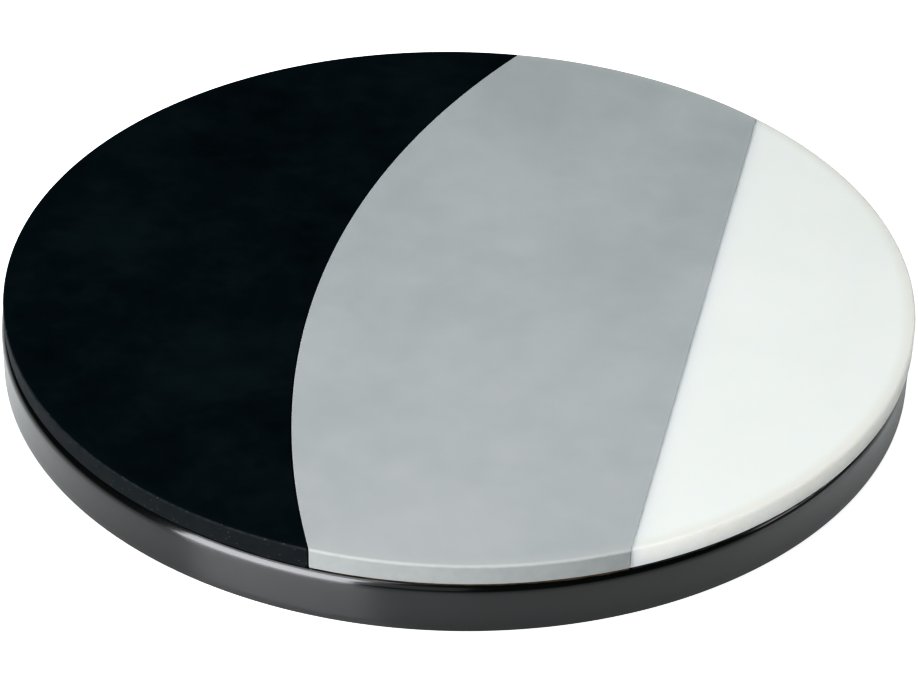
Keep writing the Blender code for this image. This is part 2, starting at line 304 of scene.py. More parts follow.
class Paint:
    """A Principled material whose helper methods add nodes and return their output sockets."""

    def __init__(self, name, fixed):
        self.material = bpy.data.materials.new(name)
        self.material.use_nodes = True
        self.tree = self.material.node_tree
        self.shader = self.tree.nodes["Principled BSDF"]
        for socket, value in fixed.items():
            self.shader.inputs[socket].default_value = value
        self.place = self.node("ShaderNodeTexCoord").outputs["Object"]

    def node(self, kind, inputs=None, **settings):
        made = self.tree.nodes.new(kind)
        for setting, value in settings.items():
            setattr(made, setting, value)
        for socket, value in (inputs or {}).items():
            if isinstance(value, bpy.types.NodeSocket):
                self.tree.links.new(value, made.inputs[socket])
            else:
                made.inputs[socket].default_value = value
        return made

    def set(self, socket, value):
        self.tree.links.new(value, self.shader.inputs[socket])

    def stretched(self, x, y, z):
        """The surface's place, scaled along each axis."""
        scaled = self.node("ShaderNodeVectorMath", {0: self.place, 1: (x, y, z)}, operation="MULTIPLY")
        return scaled.outputs[0]

    def noise(self, feature_size, detail=3.0, roughness=0.5, place=None):
        """Soft noise from 0 to 1 whose blobs are about feature_size metres across."""
        inputs = {"Scale": 1.0 / feature_size, "Detail": detail, "Roughness": roughness}
        inputs["Vector"] = place or self.place
        return self.node("ShaderNodeTexNoise", inputs).outputs["Fac"]

    def remap(self, value, low, high, to_low, to_high):
        inputs = {0: value, 1: low, 2: high, 3: to_low, 4: to_high}
        return self.node("ShaderNodeMapRange", inputs, interpolation_type="SMOOTHSTEP").outputs[0]

    def math(self, operation, first, second=0.0):
        return self.node("ShaderNodeMath", {0: first, 1: second}, operation=operation).outputs[0]

    def blend(self, factor, first, second):
        """Colour first where the factor is 0, and second where it is 1."""
        made = self.node("ShaderNodeMix", data_type="RGBA")
        for socket, value in ((0, factor), (6, first), (7, second)):
            if isinstance(value, bpy.types.NodeSocket):
                self.tree.links.new(value, made.inputs[socket])
            elif socket == 0:
                made.inputs[socket].default_value = value
            else:
                made.inputs[socket].default_value = (*value, 1.0)
        return made.outputs[2]

    def specks(self, spacing, size, share):
        """Round specks about size metres across, in this share of the cells of a loose grid."""
        cells = self.node("ShaderNodeTexVoronoi", {"Vector": self.place, "Scale": 1.0 / spacing})
        near = self.math("LESS_THAN", cells.outputs["Distance"], size / spacing / 2.0)
        chosen = self.node("ShaderNodeSeparateColor", {0: cells.outputs["Color"]}).outputs[0]
        return self.math("MULTIPLY", near, self.math("LESS_THAN", chosen, share))

    def bump(self, height, depth, strength=1.0, under=None):
        inputs = {"Height": height, "Distance": depth, "Strength": strength}
        if under is not None:
            inputs["Normal"] = under
        return self.node("ShaderNodeBump", inputs).outputs[0]

    def axis_distance(self):
        """Distance from the Z axis, in metres."""
        flat = self.stretched(1.0, 1.0, 0.0)
        return self.node("ShaderNodeVectorMath", {0: flat}, operation="LENGTH").outputs["Value"]

    def height(self):
        return self.node("ShaderNodeSeparateXYZ", {0: self.place}).outputs[2]


# ---------------------------------------------------------------- materials


def lacquer_material():
    """Semi-gloss black lacquer: orange peel, a little dust under the coat, a rubbed lower edge."""
    fixed = {"Specular IOR Level": 0.5, "IOR": 1.5}
    fixed.update({"Coat Weight": 1.0, "Coat Roughness": 0.105, "Coat IOR": 1.6})
    paint = Paint("base_lacquer", fixed)
    cloud = paint.noise(38.0 * MM, 3.0)
    deep = paint.blend(cloud, (0.0026, 0.0032, 0.0032), (0.0042, 0.0050, 0.0052))
    dust = paint.specks(3.4 * MM, 0.20 * MM, 0.06)
    dusty = paint.blend(paint.math("MULTIPLY", dust, 0.3), deep, (0.085, 0.088, 0.092))
    edge = paint.remap(paint.height(), BOARD_BOTTOM + 0.9 * MM, BOARD_BOTTOM, 0.0, 1.0)
    chips = paint.remap(paint.noise(1.6 * MM, 4.0, 0.7), 0.56, 0.68, 0.0, 0.55)
    worn = paint.math("MULTIPLY", edge, chips)
    paint.set("Base Color", paint.blend(worn, dusty, (0.060, 0.056, 0.052)))
    satin = paint.remap(paint.noise(14.0 * MM, 4.0, 0.6), 0.25, 0.75, 0.20, 0.24)
    paint.set("Roughness", paint.math("ADD", satin, paint.math("MULTIPLY", worn, 0.25)))
    peel = paint.bump(paint.noise(4.5 * MM, 1.0), 0.0035 * MM)
    grain = paint.bump(paint.noise(0.6 * MM, 2.0), 0.0012 * MM, 1.0, peel)
    paint.set("Normal", grain)
    return paint.material


def rubber_paint(name, tones, rim, side, edge, roughness, grain_depth, specular, subsurface):
    """Moulded silicone rubber. The top is a cloudy blend of two tones. The side wall has a tone of its
    own, painted light and shade that stands in for how the lamps fall on it, and the rounded edge
    between them carries a patchy painted highlight. The top takes the rim tone near its outer edge.
    Subsurface is a weight and a depth."""
    fixed = {"Specular IOR Level": specular, "Subsurface Weight": subsurface[0]}
    fixed["Subsurface Scale"] = subsurface[1]
    paint = Paint(name, fixed)
    paint.shader.inputs["Subsurface Radius"].default_value = (1.0, 0.9, 0.8)
    cloud = paint.remap(paint.noise(46.0 * MM, 5.0, 0.62), 0.30, 0.72, 0.0, 0.7)
    smear = paint.remap(paint.noise(9.0 * MM, 4.0, 0.6), 0.35, 0.75, 0.0, 0.3)
    tone = paint.math("ADD", cloud, smear)
    # Painted shade: within 5 mm of the rim the top blends into the rim tone, darker and warmer on the
    # white pad and a little lighter on the grey.
    near_rim = paint.remap(paint.axis_distance(), RIM_RADIUS - 5.0 * MM, RIM_RADIUS, 0.0, 1.0)
    top = paint.blend(near_rim, paint.blend(tone, tones[0], tones[1]), rim)
    height = paint.height()
    wall = paint.remap(height, PAD_TOP - 0.15 * MM, PAD_TOP - 0.80 * MM, 0.0, 1.0)
    mottle = paint.remap(paint.noise(5.0 * MM, 4.0, 0.65), 0.3, 0.7, 0.72, 1.0)
    # Painted light and shade: the side wall takes the side tone in place of the light that falls on it.
    body = paint.blend(paint.math("MULTIPLY", wall, mottle), top, side)
    # Painted highlight: a lighter band in the edge tone along the rounded top edge, broken into
    # patches.
    over = paint.remap(height, PAD_TOP - 0.09 * MM, PAD_TOP - 0.20 * MM, 0.0, 1.0)
    under = paint.remap(height, PAD_TOP - 1.0 * MM, PAD_TOP - 0.5 * MM, 0.0, 1.0)
    patches = paint.remap(paint.noise(2.6 * MM, 5.0, 0.7), 0.36, 0.62, 0.35, 1.0)
    wear_and_highlight = paint.math("MULTIPLY", paint.math("MULTIPLY", over, under), patches)
    paint.set("Base Color", paint.blend(wear_and_highlight, body, edge))
    paint.set("Roughness", paint.remap(tone, 0.0, 1.0, roughness - 0.06, roughness + 0.06))
    matte = paint.bump(paint.noise(0.42 * MM, 3.0, 0.6), grain_depth)
    cut = paint.noise(1.0 * MM, 3.0, 0.6, paint.stretched(1.0, 1.0, 0.12))
    paint.set("Normal", paint.bump(paint.math("MULTIPLY", cut, wall), 0.025 * MM, 1.0, matte))
    return paint


def black_rubber_material():
    """Black rubber, with pale dust specks that gather along its side."""
    paint = rubber_paint(
        "black_rubber",
        tones=((0.0008, 0.0048, 0.0068), (0.0062, 0.0160, 0.0195)),
        rim=(0.0035, 0.0095, 0.0125),
        # Side: pale dust on the cut side, and painted light that lightens it well past the top.
        side=(0.0215, 0.0265, 0.0295),
        # Edge: painted highlight on the rounded top edge.
        edge=(0.0370, 0.0420, 0.0460),
        roughness=0.46,
        grain_depth=0.012 * MM,
        specular=0.06,
        subsurface=(0.0, MM),
    )
    body = paint.shader.inputs["Base Color"].links[0].from_socket
    dust = paint.math("MULTIPLY", paint.specks(4.2 * MM, 0.26 * MM, 0.05), 0.5)
    side_band = paint.remap(paint.height(), PAD_TOP - 0.02 * MM, PAD_TOP - 0.20 * MM, 0.0, 1.0)
    fine = paint.math("MULTIPLY", paint.specks(1.2 * MM, 0.36 * MM, 0.42), side_band)
    specks = paint.math("MAXIMUM", dust, paint.math("MULTIPLY", fine, 0.6))
    paint.set("Base Color", paint.blend(specks, body, (0.17, 0.19, 0.19)))
    return paint.material


def grey_rubber_material():
    paint = rubber_paint(
        "grey_rubber",
        tones=((0.392, 0.408, 0.405), (0.430, 0.446, 0.438)),
        rim=(0.430, 0.445, 0.432),
        # Side: painted shade, darker than the top.
        side=(0.340, 0.352, 0.348),
        # Edge: painted highlight on the rounded top edge.
        edge=(0.448, 0.462, 0.452),
        roughness=0.55,
        grain_depth=0.010 * MM,
        specular=0.40,
        subsurface=(0.10, 1.2 * MM),
    )
    return paint.material


def white_rubber_material():
    """Off-white rubber, translucent enough for its rim to look soft, with painted shade near the rim of
    its top and painted light on its side.
    """
    paint = rubber_paint(
        "white_rubber",
        tones=((0.812, 0.845, 0.788), (0.838, 0.864, 0.814)),
        # Rim: painted shade near the rim, darker and warmer than the top.
        rim=(0.770, 0.765, 0.690),
        # Side: painted light, brighter than the top.
        side=(0.980, 0.950, 0.875),
        # Edge: painted highlight on the rounded top edge.
        edge=(0.860, 0.850, 0.780),
        roughness=0.50,
        grain_depth=0.010 * MM,
        specular=0.30,
        subsurface=(0.95, 6.0 * MM),
    )
    return paint.material


def glue_material(name, tones):
    """Dried contact glue: uneven and a little shiny."""
    paint = Paint(name, {"Specular IOR Level": 0.4})
    tone = paint.noise(3.0 * MM, 4.0, 0.65)
    paint.set("Base Color", paint.blend(tone, *tones))
    paint.set("Roughness", paint.remap(tone, 0.3, 0.7, 0.35, 0.60))
    paint.set("Normal", paint.bump(paint.noise(0.8 * MM, 3.0), 0.05 * MM))
    return paint.material


def foot_rubber_material():
    """Moulded black rubber, greyer where it rubs on the table."""
    paint = Paint("foot_rubber", {"Specular IOR Level": 0.35})
    tone = paint.noise(2.4 * MM, 4.0, 0.6)
    base = paint.blend(tone, (0.012, 0.012, 0.013), (0.024, 0.024, 0.025))
    wear_and_highlight = paint.remap(paint.height(), 0.35 * MM, 0.0, 0.0, 0.6)
    patches = paint.remap(paint.noise(0.9 * MM, 5.0, 0.7), 0.4, 0.7, 0.2, 1.0)
    scuffs = paint.math("MULTIPLY", wear_and_highlight, patches)
    paint.set("Base Color", paint.blend(scuffs, base, (0.075, 0.073, 0.070)))
    paint.set("Roughness", paint.remap(tone, 0.3, 0.7, 0.66, 0.80))
    paint.set("Normal", paint.bump(paint.noise(0.35 * MM, 3.0, 0.6), 0.02 * MM))
    return paint.material


def steel_material(name, pale, warm, roughness, groove_size):
    """Plated steel: turned rings, patchy plating and fine scratches."""
    paint = Paint(name, {"Metallic": 1.0})
    patches = paint.noise(2.2 * MM, 4.0, 0.6)
    paint.set("Base Color", paint.blend(patches, pale, warm))
    paint.set("Roughness", paint.remap(patches, 0.25, 0.75, roughness - 0.07, roughness + 0.09))
    rings = paint.math("SINE", paint.math("MULTIPLY", paint.axis_distance(), math.tau / groove_size))
    turned = paint.bump(rings, 0.004 * MM, 0.6)
    scratches = paint.noise(0.25 * MM, 4.0, 0.7)
    paint.set("Normal", paint.bump(scratches, 0.006 * MM, 0.8, turned))
    return paint.material


# ---------------------------------------------------------------- base board


def base_board(material):
    """The lacquered disc, with its rounded upper edge, the insert's stepped pocket below and the
    screws' pilot holes."""
    pocket_radius = INSERT_HIGH.x + POCKET_GAP
    barrel_radius = INSERT_BARREL_RADIUS + POCKET_GAP
    flange_depth = INSERT_FLANGE_THICKNESS + POCKET_GAP
    barrel_depth = INSERT_HIGH.z - INSERT_LOW.z + 2.0 * POCKET_GAP
    upper_centre = (BOARD_RADIUS - BOARD_TOP_ROUND, BOARD_TOP - BOARD_TOP_ROUND)
    lower_centre = (BOARD_RADIUS - BOARD_BOTTOM_ROUND, BOARD_BOTTOM + BOARD_BOTTOM_ROUND)
    pocket_round = 0.3 * MM
    pocket_centre = (pocket_radius + pocket_round, BOARD_BOTTOM + pocket_round)
    wall_top = (BOARD_RADIUS, upper_centre[1])
    wall_bottom = (BOARD_RADIUS, lower_centre[1])
    flat_rings = int(BOARD_RADIUS / BOARD_RING_STEP)
    profile = line((0.0, BOARD_TOP), (upper_centre[0], BOARD_TOP), flat_rings)
    profile += arc(upper_centre, BOARD_TOP_ROUND, QUARTER_TURN, 0.0, BOARD_ROUND_STEPS)[:-1]
    profile += line(wall_top, wall_bottom, 6)
    profile += arc(lower_centre, BOARD_BOTTOM_ROUND, 0.0, -QUARTER_TURN, 5)[:-1]
    profile += line((lower_centre[0], BOARD_BOTTOM), (pocket_centre[0], BOARD_BOTTOM), flat_rings)
    profile += arc(pocket_centre, pocket_round, -QUARTER_TURN, -math.pi, 3)
    profile += [
        (pocket_radius, BOARD_BOTTOM + flange_depth),
        (barrel_radius, BOARD_BOTTOM + flange_depth),
        (barrel_radius, BOARD_BOTTOM + barrel_depth),
        (0.0, BOARD_BOTTOM + barrel_depth),
    ]
    board = to_object("lacquered_board", lathe(profile, BOARD_SEGMENTS), material)
    holes = []
    for number in range(1, FOOT_COUNT + 1):
        holes.append(pilot_hole(f"foot_screw_{number}", FOOT_SCREW_SHANK + POCKET_GAP))
    for number in range(1, INSERT_SCREW_COUNT + 1):
        holes.append(pilot_hole(f"insert_screw_{number}", INSERT_SCREW_SHANK + POCKET_GAP))
    carve(board, holes)
    return board


def pilot_hole(node, radius):
    """A cutter for the hole in the board that a screw stands in."""
    _, high, centre = place_of(node)
    top = high.z + POCKET_GAP
    bottom = BOARD_BOTTOM - 1.0 * MM
    profile = [(0.0, top), (radius, top), (radius, bottom), (0.0, bottom)]
    cutter = to_object(node + "_hole", lathe(profile, PILOT_HOLE_SEGMENTS), None)
    cutter.location = (centre.x, centre.y, 0.0)
    return cutter


# ---------------------------------------------------------------- rubber pads


def meeting_angles(rim_radius, seam_radius):
    """Where the curved seam meets the rim, as its angle about each of the two centres."""
    distance = CURVED_SEAM_CENTRE_X - RIM_CENTRE_X
    along = (rim_radius**2 - seam_radius**2 + distance**2) / (2.0 * distance)
    across = math.sqrt(rim_radius**2 - along**2)
    return math.atan2(across, along), math.atan2(across, along - distance)


def on(kind, points):
    """Tag outline points with the kind of edge they lie on."""
    return [(x, y, kind) for x, y in points]


def rim_arc(inset, start, end, steps):
    return on("rim", arc((RIM_CENTRE_X, 0.0), RIM_RADIUS - inset, start, end, steps))


def black_outline(rim_inset, seam_inset):
    seam_radius = CURVED_SEAM_RADIUS + CURVED_SEAM_HALF_GAP + seam_inset
    rim_angle, seam_angle = meeting_angles(RIM_RADIUS - rim_inset, seam_radius)
    seam_centre = (CURVED_SEAM_CENTRE_X, 0.0)
    curved = arc(seam_centre, seam_radius, math.tau - seam_angle, seam_angle, CURVED_SEAM_STEPS)
    outline = rim_arc(rim_inset, rim_angle, math.tau - rim_angle, BLACK_RIM_STEPS)
    return outline + on("seam", curved[1:-1])


def grey_outline(rim_inset, seam_inset):
    rim_radius = RIM_RADIUS - rim_inset
    seam_radius = CURVED_SEAM_RADIUS - CURVED_SEAM_HALF_GAP - seam_inset
    seam_x = STRAIGHT_SEAM_X - STRAIGHT_SEAM_HALF_GAP - seam_inset
    rim_angle, seam_angle = meeting_angles(rim_radius, seam_radius)
    line_angle = math.acos((seam_x - RIM_CENTRE_X) / rim_radius)
    half_line = rim_radius * math.sin(line_angle)
    seam_centre = (CURVED_SEAM_CENTRE_X, 0.0)
    curved = arc(seam_centre, seam_radius, seam_angle, math.tau - seam_angle, CURVED_SEAM_STEPS)
    straight = line((seam_x, -half_line), (seam_x, half_line), STRAIGHT_SEAM_STEPS)
    outline = rim_arc(rim_inset, line_angle, rim_angle, GREY_RIM_STEPS)
    outline += on("seam", curved[1:-1])
    outline += rim_arc(rim_inset, -rim_angle, -line_angle, GREY_RIM_STEPS)
    return outline + on("seam", straight[1:])


def white_outline(rim_inset, seam_inset):
    rim_radius = RIM_RADIUS - rim_inset
    seam_x = STRAIGHT_SEAM_X + STRAIGHT_SEAM_HALF_GAP + seam_inset
    line_angle = math.acos((seam_x - RIM_CENTRE_X) / rim_radius)
    half_line = rim_radius * math.sin(line_angle)
    straight = line((seam_x, half_line), (seam_x, -half_line), STRAIGHT_SEAM_STEPS)
    outline = rim_arc(rim_inset, -line_angle, line_angle, WHITE_RIM_STEPS)
    return outline + on("seam", straight[1:])


def pad_solid(outline):
    """A pad with a rounded upper edge along the rim and crisp edges along the seams. Its flat
    top is divided by an even grid. outline gives the pad's outline at an inset from the rim and an
    inset from the seams."""
    builder = bmesh.new()
    rings = []

    def add_ring(rim_inset, rim_height, seam_inset, seam_height):
        heights = {"rim": rim_height, "seam": seam_height}
        points = outline(rim_inset, seam_inset)
        rings.append([builder.verts.new((x, y, heights[kind])) for x, y, kind in points])

    add_ring(PAD_FOOT_ROUND, PAD_BOTTOM, PAD_FOOT_ROUND, PAD_BOTTOM)
    wall_low = PAD_BOTTOM + PAD_FOOT_ROUND
    rim_wall = PAD_TOP - RIM_ROUND - wall_low
    seam_wall = PAD_TOP - SEAM_ROUND - wall_low
    for row in range(PAD_WALL_ROWS):
        share = row / PAD_WALL_ROWS
        add_ring(0.0, wall_low + rim_wall * share, 0.0, wall_low + seam_wall * share)
    for step in range(PAD_ROUND_STEPS + 1):
        angle = QUARTER_TURN * step / PAD_ROUND_STEPS
        inward = 1.0 - math.cos(angle)
        drop = 1.0 - math.sin(angle)
        add_ring(
            RIM_ROUND * inward,
            PAD_TOP - RIM_ROUND * drop,
            SEAM_ROUND * inward,
            PAD_TOP - SEAM_ROUND * drop,
        )
    add_ring(RIM_ROUND + PAD_SUPPORT, PAD_TOP, SEAM_ROUND + PAD_SUPPORT, PAD_TOP)
    for lower, upper in zip(rings, rings[1:]):
        bridge(builder, lower, upper)
    builder.faces.new(rings[0])
    builder.faces.new(rings[-1]).material_index = 1
    divide_top(builder)
    return builder


def divide_top(builder):
    """Cut the marked top face into a square grid, and clear the mark."""
    lines = int(RIM_RADIUS / PAD_GRID) + 1
    for normal in ((1.0, 0.0, 0.0), (0.0, 1.0, 0.0)):
        for index in range(-lines, lines + 1):
            marked = [face for face in builder.faces if face.material_index == 1]
            parts = set(marked)
            for face in marked:
                parts.update(face.edges)
                parts.update(face.verts)
            point = Vector(normal) * (index * PAD_GRID + 0.13 * MM)
            plane = {"plane_co": point, "plane_no": normal, "dist": TOUCHING}
            bmesh.ops.bisect_plane(builder, geom=list(parts), **plane)
    for face in builder.faces:
        face.material_index = 0


def settle(builder):
    """Make the top very slightly uneven, and let the cut rim wander by a few
    hundredths of a millimetre."""
    span = PAD_TOP - PAD_BOTTOM
    for vert in builder.verts:
        x, y, z = vert.co
        rise = (z - PAD_BOTTOM) / span
        swell = 0.5 + 0.5 * noise.noise(Vector((x, y, 0.0)) / (34.0 * MM))
        vert.co.z -= PAD_UNDULATION * swell * rise
        out = Vector((x - RIM_CENTRE_X, y, 0.0))
        if out.length > RIM_RADIUS - RIM_ROUND - PAD_SUPPORT / 2.0:
            slow = noise.noise(out / (17.0 * MM))
            quick = noise.noise(Vector((x, y, z * 3.0)) / (3.2 * MM))
            wander = 0.5 + 0.35 * slow + 0.15 * quick
            vert.co -= out.normalized() * (PAD_EDGE_WANDER * wander)


def rubber_pad(name, outline, material):
    builder = pad_solid(outline)
    settle(builder)
    return to_object(name, builder, material, PAD_SHARP_DEGREES)


def board_surface(radius):
    """The height of the board's upper surface at a distance from the Z axis."""
    into_round = max(0.0, radius - (BOARD_RADIUS - BOARD_TOP_ROUND))
    return BOARD_TOP - BOARD_TOP_ROUND + math.sqrt(BOARD_TOP_ROUND**2 - into_round**2)


def glue_film(name, outline, material):
    """Glue between the board and the rubber. Along the rim it is squeezed out in an uneven bead
    that lies on the board's rounded edge."""
    builder = bmesh.new()
    rings = []
    for inset, on_board in GLUE_RINGS:
        ring = []
        for x, y, _ in outline(inset, GLUE_SEAM_INSET):
            out = Vector((x - RIM_CENTRE_X, y, 0.0))
            place = Vector((x, y, PAD_BOTTOM - GLUE_BELOW_PAD))
            if inset < GLUE_BEAD_REACH and out.length > RIM_RADIUS - GLUE_BEAD_REACH:
                creep = noise.noise(out / (6.0 * MM)) * 0.16 + noise.noise(out / (1.7 * MM)) * 0.10
                place += out.normalized() * (creep * MM)
            if on_board:
                place.z = board_surface(math.hypot(place.x, place.y)) + GLUE_ABOVE_BOARD
            ring.append(builder.verts.new(place))
        rings.append(ring)
    for lower, upper in zip(rings, rings[1:]):
        bridge(builder, lower, upper)
    builder.faces.new(rings[0])
    builder.faces.new(rings[-1])
    return to_object(name, builder, material)


# ---------------------------------------------------------------- hardware


def thread(builder, low, high, crest, root, pitch, run_out):
    """Shape a helical thread into a turned wall that stands at the crest radius between two
    heights. Each end fades out over run_out."""
    for vert in builder.verts:
        radius = math.hypot(vert.co.x, vert.co.y)
        if not low < vert.co.z < high or abs(radius - crest) > 0.02 * MM:
            continue
        turn = vert.co.z / pitch - math.atan2(vert.co.y, vert.co.x) / math.tau
        wave = abs(2.0 * (turn - math.floor(turn)) - 1.0)
        flank = (wave - THREAD_FLAT) / (1.0 - 2.0 * THREAD_FLAT)
        fade = min(1.0, (vert.co.z - low) / run_out, (high - vert.co.z) / run_out)
        wanted = crest + (root - crest) * min(1.0, max(0.0, flank)) * fade
        vert.co.x *= wanted / radius
        vert.co.y *= wanted / radius


def cross_cutter(name, reach, width, depth, face_height):
    """A tapered cross that cuts a driver recess upwards into a head from below."""
    builder = bmesh.new()
    rings = []
    for height, scale in ((face_height - 0.4 * MM, 1.12), (face_height + depth, 0.52)):
        long = reach * scale
        short = width * scale
        plus = [(long, -short), (long, short), (short, short), (short, long), (-short, long)]
        plus += [(-short, short), (-long, short), (-long, -short), (-short, -short)]
        plus += [(-short, -long), (short, -long), (short, -short)]
        rings.append([builder.verts.new((x, y, height)) for x, y in plus])
    bridge(builder, rings[0], rings[1])
    builder.faces.new(rings[0])
    builder.faces.new(rings[1])
    return to_object(name, builder, None)


def screw_shank(seat, shank, core, length, head_side):
    """Profile points from a screw's point down to its head: a cone, then a wall for the thread
    that ends head_side above the seat."""
    tip = seat + length
    cone_end = tip - SCREW_CONE
    rows = int((length - SCREW_CONE) / (0.13 * MM))
    points = [(0.0, tip)]
    points += line((0.12 * shank, tip - 0.15 * MM), (core, cone_end), 10)
    points += [(shank, cone_end)]
    points += line((shank, cone_end - 0.05 * MM), (shank, seat + head_side), rows)
    points += [(shank, seat + head_side)]
    return points


def pan_screw(name, node, material):
    """A pan head wood screw with its head down, its thread and its cross recess."""
    low, high, centre = place_of(node)
    head_radius = high.x - centre.x
    seat = low.z + FOOT_SCREW_HEAD_HEIGHT
    shank = FOOT_SCREW_SHANK
    core = FOOT_SCREW_CORE
    points = screw_shank(seat, shank, core, high.z - seat, head_side=0.02 * MM)
    soft = 0.25 * MM
    shoulder = (head_radius - soft, seat - soft)
    points += arc(shoulder, soft, QUARTER_TURN, 0.0, 3)
    side = 0.5 * MM
    dome_steps = 9
    for step in range(1, dome_steps + 1):
        angle = QUARTER_TURN * step / dome_steps
        fall = (FOOT_SCREW_HEAD_HEIGHT - side) * math.sin(angle) ** 1.3
        points.append((head_radius * math.cos(angle) ** 0.62, seat - side - fall))
    points[-1] = (0.0, low.z)
    builder = lathe(points, SCREW_SEGMENTS)
    cone_end = high.z - SCREW_CONE
    thread_low = seat + 1.2 * MM
    thread(builder, thread_low, cone_end, shank, core, FOOT_SCREW_PITCH, run_out=0.8 * MM)
    screw = to_object(name, builder, material)
    recess = {"reach": 2.0 * MM, "width": 0.42 * MM, "depth": 1.1 * MM}
    carve(screw, [cross_cutter(name + "_cross", face_height=low.z, **recess)])
    screw.location = (centre.x, centre.y, 0.0)
    stand_for(screw, node)


def flat_screw(name, node, material):
    """A countersunk screw with its flat head's face down."""
    low, high, centre = place_of(node)
    head_radius = high.x - centre.x
    shank = INSERT_SCREW_SHANK
    core = INSERT_SCREW_CORE
    points = screw_shank(low.z, shank, core, high.z - low.z, head_side=1.5 * MM)
    points += [(head_radius, low.z + 0.22 * MM), (head_radius, low.z + 0.08 * MM)]
    points += [(head_radius - 0.08 * MM, low.z), (0.0, low.z)]
    builder = lathe(points, SCREW_SEGMENTS)
    cone_end = high.z - SCREW_CONE
    thread_low = low.z + 2.2 * MM
    thread(builder, thread_low, cone_end, shank, core, INSERT_SCREW_PITCH, run_out=0.7 * MM)
    screw = to_object(name, builder, material)
    recess = {"reach": 1.75 * MM, "width": 0.38 * MM, "depth": 1.3 * MM}
    carve(screw, [cross_cutter(name + "_cross", face_height=low.z, **recess)])
    screw.location = (centre.x, centre.y, 0.0)
    stand_for(screw, node)


def washer(name, node, material):
    """A pressed flat washer with slightly rounded edges."""
    low, high, centre = place_of(node)
    outer = high.x - centre.x
    inner = WASHER_HOLE_RADIUS
    soft = 0.15 * MM
    points = arc((outer - soft, high.z - soft), soft, QUARTER_TURN, 0.0, 3)
    points += arc((outer - soft, low.z + soft), soft, 0.0, -QUARTER_TURN, 3)
    points += arc((inner + soft, low.z + soft), soft, -QUARTER_TURN, -math.pi, 3)
    points += arc((inner + soft, high.z - soft), soft, math.pi, QUARTER_TURN, 3)
    made = to_object(name, lathe(points, WASHER_SEGMENTS, closed_loop=True), material)
    made.location = (centre.x, centre.y, 0.0)
    stand_for(made, node)


def rubber_foot(name, node, material):
    """A tapered foot with a pocket for its screw and two grip grooves in its bearing face."""
    _, high, centre = place_of(node)
    top_radius = high.x - centre.x
    bottom_radius = top_radius - 1.2 * MM
    soft = 0.3 * MM
    heel = 0.9 * MM
    points = [(FOOT_HOLE_RADIUS, high.z)]
    points += arc((top_radius - soft, high.z - soft), soft, QUARTER_TURN, 0.0, 3)
    points += arc((bottom_radius - heel, heel), heel, 0.0, -QUARTER_TURN, 6)
    for groove in FOOT_GROOVES:
        points += arc((groove, 0.0), FOOT_GROOVE_DEPTH, 0.0, math.pi, 6)
    points += arc((FOOT_POCKET_RADIUS + soft, soft), soft, -QUARTER_TURN, -math.pi, 3)
    points += [(FOOT_POCKET_RADIUS, FOOT_POCKET_DEPTH), (FOOT_HOLE_RADIUS, FOOT_POCKET_DEPTH)]
    made = to_object(name, lathe(points, FOOT_SEGMENTS, closed_loop=True), material)
    made.location = (centre.x, centre.y, 0.0)
    stand_for(made, node)


def stand_insert(name, node, screw_nodes, material):
    """The flanged insert: a threaded bore up its barrel, and a countersink for each screw."""
    low, high = INSERT_LOW, INSERT_HIGH
    shoulder = low.z + INSERT_FLANGE_THICKNESS
    soft = 0.25 * MM
    mouth = 0.9 * MM
    lip = 0.3 * MM
    crest = INSERT_THREAD_CREST
    rows = int((high.z - low.z) / (0.12 * MM))
    points = [(INSERT_BARREL_RADIUS, high.z), (INSERT_BARREL_RADIUS, shoulder)]
    points += arc((high.x - soft, shoulder - soft), soft, QUARTER_TURN, 0.0, 3)
    points += arc((high.x - soft, low.z + soft), soft, 0.0, -QUARTER_TURN, 4)
    points += [(crest + mouth, low.z), (crest, low.z + mouth)]
    points += line((crest, low.z + mouth), (crest, high.z - lip), rows)[1:]
    points += [(crest + lip, high.z)]
    builder = lathe(points, INSERT_SEGMENTS, closed_loop=True)
    bore = (low.z + mouth, high.z - lip, crest, INSERT_THREAD_ROOT, INSERT_THREAD_PITCH)
    thread(builder, *bore, run_out=0.6 * MM)
    made = to_object(name, builder, material)
    cutters = []
    for screw_node in screw_nodes:
        _, screw_high, middle = place_of(screw_node)
        head = screw_high.x - middle.x
        hole = INSERT_SCREW_SHANK + POCKET_GAP
        rim = head + 0.25 * MM
        cone = [(0.0, low.z + 4.0 * MM), (hole, low.z + 4.0 * MM), (hole, low.z + 1.6 * MM)]
        cone += [(rim, low.z), (rim, low.z - 0.5 * MM), (0.0, low.z - 0.5 * MM)]
        cutter = to_object(screw_node + "_countersink", lathe(cone, COUNTERSINK_SEGMENTS), None)
        cutter.location = (middle.x, middle.y, 0.0)
        cutters.append(cutter)
    carve(made, cutters)
    stand_for(made, node)


# ---------------------------------------------------------------- studio


def toward(azimuth_degrees, elevation_degrees):
    """A direction out from the pad. Azimuth is counted from the camera's side, to its right."""
    azimuth = CAMERA_AZIMUTH + math.radians(azimuth_degrees)
    elevation = math.radians(elevation_degrees)
    flat = math.cos(elevation)
    return Vector((math.sin(azimuth) * flat, -math.cos(azimuth) * flat, math.sin(elevation)))


def softbox(name, azimuth, elevation, distance, width, height, watts, colour):
    """A rectangular area light that faces the pad."""
    lamp = bpy.data.lights.new(name, "AREA")
    lamp.shape = "RECTANGLE"
    lamp.size = width
    lamp.size_y = height
    lamp.energy = watts
    lamp.color = colour
    made = bpy.data.objects.new(name, lamp)
    direction = toward(azimuth, elevation)
    made.location = Vector((0.0, 0.0, PAD_TOP)) + direction * distance
    made.rotation_mode = "QUATERNION"
    made.rotation_quaternion = direction.to_track_quat("Z", "Y")
    bpy.context.scene.collection.objects.link(made)


